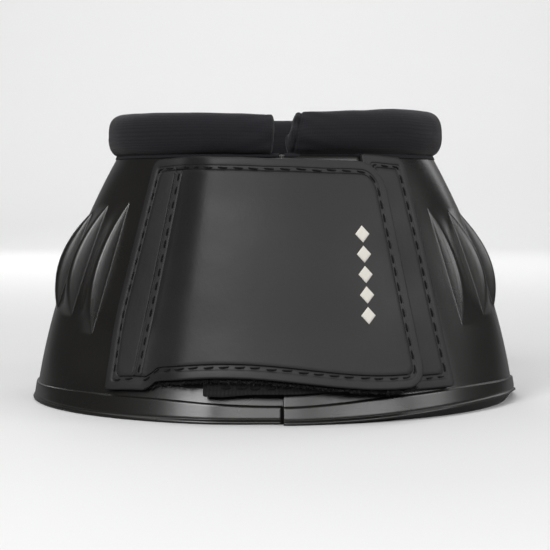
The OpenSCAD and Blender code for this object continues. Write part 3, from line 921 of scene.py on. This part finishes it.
def diamonds(name, b):
    """A column of small raised diamonds: |x|/w + |y|/h = r on nested rings, lifted to 0.36 mm inside the rim."""
    count, per = 5, 6
    rings = [(1.0, 0.0), (0.99, 0.22), (0.9, 0.34), (0.5, 0.36), (0.02, 0.36)]
    t = np.arange(4 * per) / per
    x = np.interp(t, [0, 1, 2, 3, 4], [1, 0, -1, 0, 1])
    y = np.interp(t, [0, 1, 2, 3, 4], [0, 1, 0, -1, 0])
    r, h = np.array(rings).T
    k = np.arange(count)[:, None, None]
    z = mm(b.mark_low) + mm(b.mark_step) * k + 3.0 * r[None, :, None] * y[None, None]
    u = 21.2 + (z - 34) * 0.05 + 2.5 / degree_w(b, z) * r[None, :, None] * x[None, None]
    co = at(b, u, z, strap_lift(u) + STRAP_T + 0.06 + h[None, :, None])
    one = grid_faces(len(rings), 4 * per, wrap=True)
    size = len(rings) * 4 * per
    cap = size - 4 * per + np.arange(4 * per)
    faces = [f for i in range(count) for f in (one[:, ::-1] + i * size).tolist() + [(cap + i * size).tolist()]]
    return make(name, co, faces, uv=np.stack([u, z], -1) / 10)


TAPE_EDGE = [(0.15, 0.7), (0.5, 1.0), (1.2, 1.0)]
CORD_PITCH = 1.15


def tongue_lift(u):
    """Inner face of the tongue's webbing: clear of the shell at the left, down to the sewn strip at the right."""
    return mix(2.7, 0.5, ease((u - 18.6) / 9))


class BOOT_OT_tongue(bpy.types.Operator):
    """Build the sewn strip, the ribbed tongue, its two tapes and their stitching"""

    bl_idname = "boot.tongue"
    bl_label = "Tongue"

    def execute(self, context):
        b = context.scene.boot_shape
        right = lambda z: 44.6 + 2.4 * ease((z - 8) / 80)
        low = lambda u: 10.3 - 0.3 * ease((u - 40) / 6)
        high = lambda u: mix(93.6, 92.6, ease((u - 29) / 17))
        patch = Patch(b, level(29.3), right, low, high, (1.5, 2.5, 3.5, 1.2))
        sx, sy = crowded(30, 0.6, [0.98, 0.998]), crowded(40, 0.5, [0.98, 0.995, 0.999])
        strip = plate("inner_strip", patch, level(0.2), STRAP_T, RIM, sx, sy)
        finish_piece(strip, "strap_rubber", "right_half", ["tongue_anchor"])
        sew("inner_strip_stitching", b, [patch.along(STITCH_INSET)], level(0.2 + STRAP_T * SEWN), 5, "right_half",
            "tongue_anchor_stitching")
        web_low = lambda u: 9.4 + 1.0 * ease((u + 12) / 8) + 1.0 * ease((u - 2) / 14)
        cord = lambda u, z, p: 0.12 * np.sin(u * MM_PER_DEGREE * 2 * math.pi / CORD_PITCH)
        band_patch = Patch(b, level(-15.6), level(31.0), web_low, level(86), (1,) * 4)
        band = plate("tongue_web", band_patch, lambda u, z: tongue_lift(u), 1.0, [(0.1, 0.75), (0.4, 1.0), (1.2, 1.0)],
                     shares(60), shares(30), cord)
        finish_piece(band, "webbing", replaces=["tongue_band"])
        bend_at(band, b, TONGUE_BEND, -1)
        loop = plate("tongue_loop_pile", Patch(b, level(-12), level(17.6), level(14.8), level(81.6), (1,) * 4),
                     level(3.85), 0.85, TAPE_EDGE, shares(40), shares(40), nap(31))
        finish_piece(loop, "loop_pile", "tongue", ["tongue_loop_tape"])
        hook = plate("tongue_hook_strip", Patch(b, level(-13.6), level(-5), level(16.4), level(80), (1,) * 4),
                     level(1.7), 0.8, TAPE_EDGE, shares(14), shares(40))
        finish_piece(hook, "hook_tape", "tongue", ["tongue_hook_tape"])
        rows = [(np.linspace(-12, 17, 40), np.full(40, zz)) for zz in (12.6, 83.8)]
        rows.append((np.full(40, -13.7), np.linspace(14.5, 82, 40)))
        sew("tongue_web_stitching", b, rows, level(3.7), 6, "tongue", "tongue_stitching")
        return {"FINISHED"}


class BOOT_OT_patch(bpy.types.Operator):
    """Build the loop patch on the left half and its stitching"""

    bl_idname = "boot.patch"
    bl_label = "Loop patch"

    def execute(self, context):
        b = context.scene.boot_shape
        patch = Patch(b, level(-22), level(-3), level(12), level(85), (2,) * 4)
        pile = plate("loop_pile_patch", patch, lambda u, z: 0.15 - lap_dip(u), 1.05, TAPE_EDGE[:2] + [(1.6, 1.0)],
                     shares(30), shares(50), nap(32))
        finish_piece(pile, "loop_pile", "left_half", ["loop_patch"])
        sew("loop_pile_patch_stitching", b, [patch.along(1.8)], lambda u, z: 1.2 - lap_dip(u), 7, "left_half",
            "loop_patch_stitching")
        return {"FINISHED"}


# ---------------- stage, properties and panel


CAMERA_AT = (0.0, -0.6068, 0.0803)
AIM_FRONT, AIM_MIDDLE = (0.0, -0.05, 0.05), (0.0, 0.0, 0.05)
# name, place, aim, size and watts
LIGHTS = [
    ("key", (-0.64, -0.98, 0.86), AIM_FRONT, (0.5, 0.8), 10.5),
    ("front", (0.05, -1.38, 0.68), AIM_FRONT, (0.8, 0.4), 4.2),
    ("front right", (0.9, -1.0, 0.66), AIM_FRONT, (0.8, 0.4), 4.3),
    ("right", (1.2, -0.3, 0.62), AIM_MIDDLE, (0.5, 0.45), 3.2),
    ("back right", (0.8, 0.9, 0.7), AIM_MIDDLE, (0.3, 0.7), 0.9),
    ("back", (-0.35, 1.25, 0.8), AIM_MIDDLE, (0.7, 0.6), 3.6),
    ("top", (0.0, 0.6, 2.2), (0.0, 0.5, 0.0), (3.0, 2.4), 26.0),
    ("backdrop", (0.0, 0.9, 1.3), (0.0, 2.4, 0.6), (3.0, 0.4), 21.0),
]


def by_ray(tree, seen, unseen, output):
    """One shader for rays from the camera and another for all the rest."""
    ray = add(tree, "ShaderNodeLightPath").outputs["Is Camera Ray"]
    both = add(tree, "ShaderNodeMixShader", {0: ray, 1: unseen.outputs[0], 2: seen.outputs[0]})
    tree.links.new(both.outputs[0], tree.nodes[output].inputs["Surface"])


class BOOT_OT_stage(bpy.types.Operator):
    """Build the pale floor that curves up behind the boot, the soft lights and the camera"""

    bl_idname = "boot.stage"
    bl_label = "Stage"

    def execute(self, context):
        look = context.scene.boot_look
        across = np.linspace(-3000, 3000, 9)
        turn = np.linspace(0.1, math.pi / 2, 12)
        run = np.concatenate([np.linspace(-2500, 1500, 9), 1500 + 900 * np.sin(turn), [2400]])
        rise = np.concatenate([np.zeros(9), 900 * (1 - np.cos(turn)), [3500]])
        x, y = np.meshgrid(across, run, indexing="ij")
        floor = make("sweep", np.stack([x, y, rise[None] + 0 * x], -1), grid_faces(len(across), len(run)))
        mat, tree, shader = start_material("paper", Specular_IOR_Level=0.2)
        cloud = noise(tree, coords(tree), 3.0)
        tint(tree, shader, scaled(look.floor, 0.99), look.floor, cloud)
        roughen(tree, shader, 0.7, 0.8, cloud)
        dim = add(tree, "ShaderNodeBsdfDiffuse", {"Color": (*scaled(look.floor, look.bounce), 1)})
        by_ray(tree, shader, dim, "Material Output")
        floor.data.materials.append(mat)
        world = bpy.data.worlds.new("Studio")
        world.use_nodes = True
        tree = world.node_tree
        dim = tree.nodes["Background"]
        dim.inputs[0].default_value, dim.inputs[1].default_value = (0.93, 0.93, 0.95, 1), look.fill
        pale = add(tree, "ShaderNodeBackground", {"Color": (*look.floor, 1)})
        by_ray(tree, pale, dim, "World Output")
        context.scene.world = world
        context.scene.view_settings.view_transform = "Standard"
        for name, place_at, aim, size, power in LIGHTS:
            data = bpy.data.lights.new(name, "AREA")
            data.shape, data.size, data.size_y, data.energy = "RECTANGLE", size[0], size[1], power
            light = bpy.data.objects.new(name, data)
            light.location = place_at
            light.rotation_euler = (Vector(aim) - light.location).to_track_quat("-Z", "Y").to_euler()
            context.scene.collection.objects.link(light)
        lens = bpy.data.cameras.new("Camera")
        lens.sensor_width, lens.lens = 36.0, look.lens
        lens.clip_start, lens.clip_end = 0.02, 20.0
        camera = bpy.data.objects.new("Camera", lens)
        camera.location = CAMERA_AT
        camera.rotation_euler = (math.pi / 2 - look.camera_tilt, 0.0, 0.0)
        context.scene.collection.objects.link(camera)
        context.scene.camera = camera
        return {"FINISHED"}


def number(name, description, default, **more):
    """A float property."""
    return bpy.props.FloatProperty(name=name, description=description, default=default, **more)


def length(name, description, default):
    """A length in metres."""
    return number(name, description, default, min=0.0, unit="LENGTH", precision=4)


def angle(name, description, default):
    """An angle, its default given in degrees."""
    return number(name, description, math.radians(default), subtype="ANGLE")


def colour(name, description, default):
    """A linear colour."""
    return bpy.props.FloatVectorProperty(
        name=name, description=description, default=default, size=3, min=0, max=1, subtype="COLOR"
    )


class BootShape(bpy.types.PropertyGroup):
    """Sizes of the boot"""

    hem_half_width: length("Hem half width", "Half width of the shell at the hem", 0.0937)
    top_half_width: length("Top half width", "Half width of the shell under the collar", 0.0617)
    shell_height: length("Shell height", "Height of the shell", 0.093)
    depth_share: number("Depth share", "Depth of the boot as a share of its width", 0.9, subtype="FACTOR")
    swell: length("Swell", "How far the sides and back swell outward at mid height", 0.0048)
    wall: length("Wall", "Thickness of the rubber wall", 0.0034)
    rib_rise: length("Rib rise", "How far a rib stands out", 0.0046)
    rib_pitch: angle("Rib pitch", "Angle from one rib to the next", 11.1)
    rib_start_left: angle("First rib left", "Angle from the front to the first rib on the left", 52.4)
    rib_start_right: angle("First rib right", "Angle from the front to the first rib on the right", 55.2)
    collar_half_width: length("Collar half width", "Half width of the ring the collar is centred on", 0.0592)
    collar_thickness: length("Collar thickness", "Radial thickness of the collar", 0.012)
    stitch_pitch: length("Stitch pitch", "Distance from one stitch to the next", 0.0050)
    thread_diameter: length("Thread diameter", "Diameter of the sewing thread", 0.00066)
    mark_low: length("Mark height", "Height of the lowest diamond", 0.037)
    mark_step: length("Mark step", "Distance between diamonds", 0.007)
    strap_bend: length("Strap bend", "Length over which a strap bends beside its hinge line", 0.0075)
    bend_strip: length("Back strip", "Half width of the strip of the back that bends", 0.022)


class BootLook(bpy.types.PropertyGroup):
    """Colours, light and camera"""

    shell: colour("Shell", "Rubber of the shell", (0.0125, 0.0118, 0.0108))
    strap: colour("Strap", "Coated rubber of the straps", (0.019, 0.0183, 0.0186))
    collar: colour("Collar", "Stretch cover of the collar", (0.013, 0.0128, 0.0165))
    webbing: colour("Webbing", "Tongue webbing", (0.012, 0.012, 0.013))
    thread: colour("Thread", "Sewing thread", (0.004, 0.004, 0.0042))
    tape: colour("Tape", "Hook and loop tape", (0.007, 0.007, 0.0075))
    foam: colour("Foam", "Core of the collar", (0.04, 0.04, 0.04))
    mark: colour("Mark", "Diamond mark", (0.78, 0.75, 0.68))
    floor: colour("Floor", "Floor and backdrop", (0.84, 0.84, 0.84))
    fill: number("Fill light", "Strength of the even light from all round", 0.06, min=0.0)
    bounce: number("Floor bounce", "Share of the floor's light that the boot picks up", 0.3, subtype="FACTOR")
    lens: number("Lens", "Focal length of the camera", 100.9, unit="CAMERA")
    camera_tilt: angle("Camera tilt", "How far the camera looks down", 3.144)


class BOOT_PT_panel(bpy.types.Panel):
    """Lists the steps that build the boot"""

    bl_label = "Bell boot"
    bl_idname = "BOOT_PT_panel"
    bl_space_type = "VIEW_3D"
    bl_region_type = "UI"
    bl_category = "Bell boot"

    def draw(self, context):
        for step in STEPS:
            self.layout.operator(step.bl_idname)
        for group_name in ("boot_shape", "boot_look"):
            props = getattr(context.scene, group_name)
            for key in props.__annotations__:
                self.layout.prop(props, key)


STEPS = (BOOT_OT_materials, BOOT_OT_shell, BOOT_OT_collar, BOOT_OT_strap, BOOT_OT_tongue, BOOT_OT_patch, BOOT_OT_stage)
CLASSES = (BootShape, BootLook, *STEPS, BOOT_PT_panel)


def register():
    """Registers every class and hangs the two groups of properties on the scene."""
    for cls in CLASSES:
        bpy.utils.register_class(cls)
    bpy.types.Scene.boot_shape = bpy.props.PointerProperty(type=BootShape)
    bpy.types.Scene.boot_look = bpy.props.PointerProperty(type=BootLook)


def unregister():
    """Undoes register."""
    del bpy.types.Scene.boot_shape
    del bpy.types.Scene.boot_look
    for cls in reversed(CLASSES):
        bpy.utils.unregister_class(cls)


def main():
    """Registers the add-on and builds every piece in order."""
    register()
    for step in STEPS:
        section, name = step.bl_idname.split(".")
        getattr(getattr(bpy.ops, section), name)()


if __name__ == "__main__":
    main()
